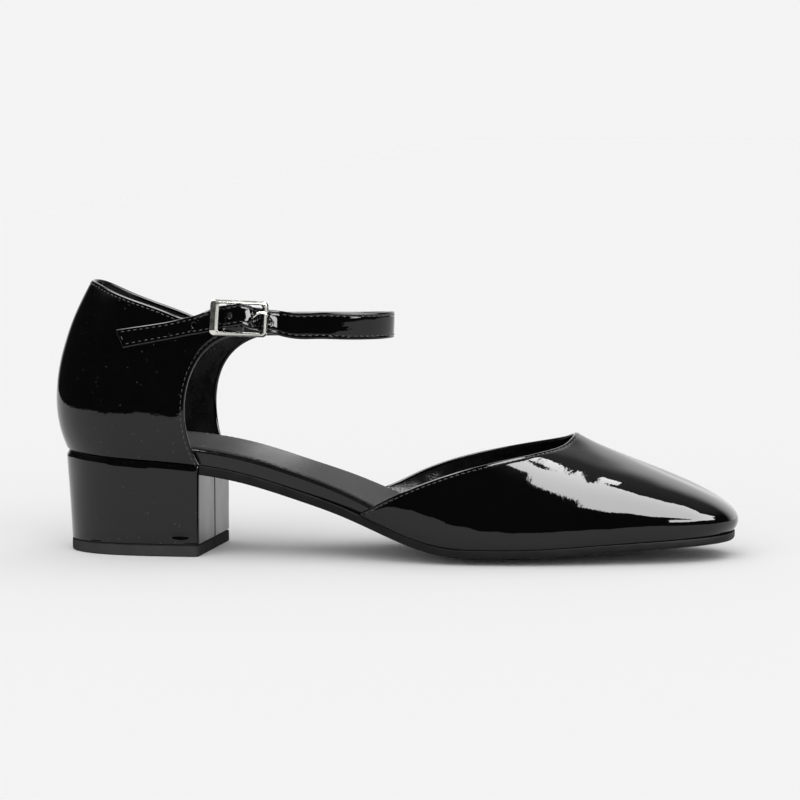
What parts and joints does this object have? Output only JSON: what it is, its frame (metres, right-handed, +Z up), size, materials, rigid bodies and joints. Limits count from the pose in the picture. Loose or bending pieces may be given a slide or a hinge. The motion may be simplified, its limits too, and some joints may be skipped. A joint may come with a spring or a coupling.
{
  "type": "block heel pump",
  "caption": "Right low block heel pump in black patent, cut open at the waist, with closed soft square toe, heel quarter with collar, buckled ankle strap, padded insole and thin sole.",
  "frame": {"origin": "on the floor under the middle of the shoe's bounding box", "axes": "+X from heel to toe, +Y to the medial (inner) side of this right shoe, +Z up from the floor"},
  "size_m": [0.2472, 0.0805, 0.0976],
  "materials": {
    "patent_upper": "black patent, mirror gloss",
    "patent_board": "black patent wrap, glossy",
    "sock_leather": "black fine grain, satin",
    "outsole_rubber": "matte black",
    "patent_heel": "black patent cover, glossy",
    "lift_rubber": "satin black",
    "patent_strap": "black patent, glossy",
    "buckle_metal": "polished nickel"
  },
  "bodies": {
    "root": {"vamp": "patent_upper", "quarter": "patent_upper", "insole_board": "patent_board", "insole_sock": "sock_leather", "outsole": "outsole_rubber", "heel_block": "patent_heel", "heel_top_lift": "lift_rubber", "ankle_strap": "patent_strap", "buckle_tab": "patent_strap", "buckle_frame": "buckle_metal", "buckle_prong": "buckle_metal"}
  },
  "joints": []
}
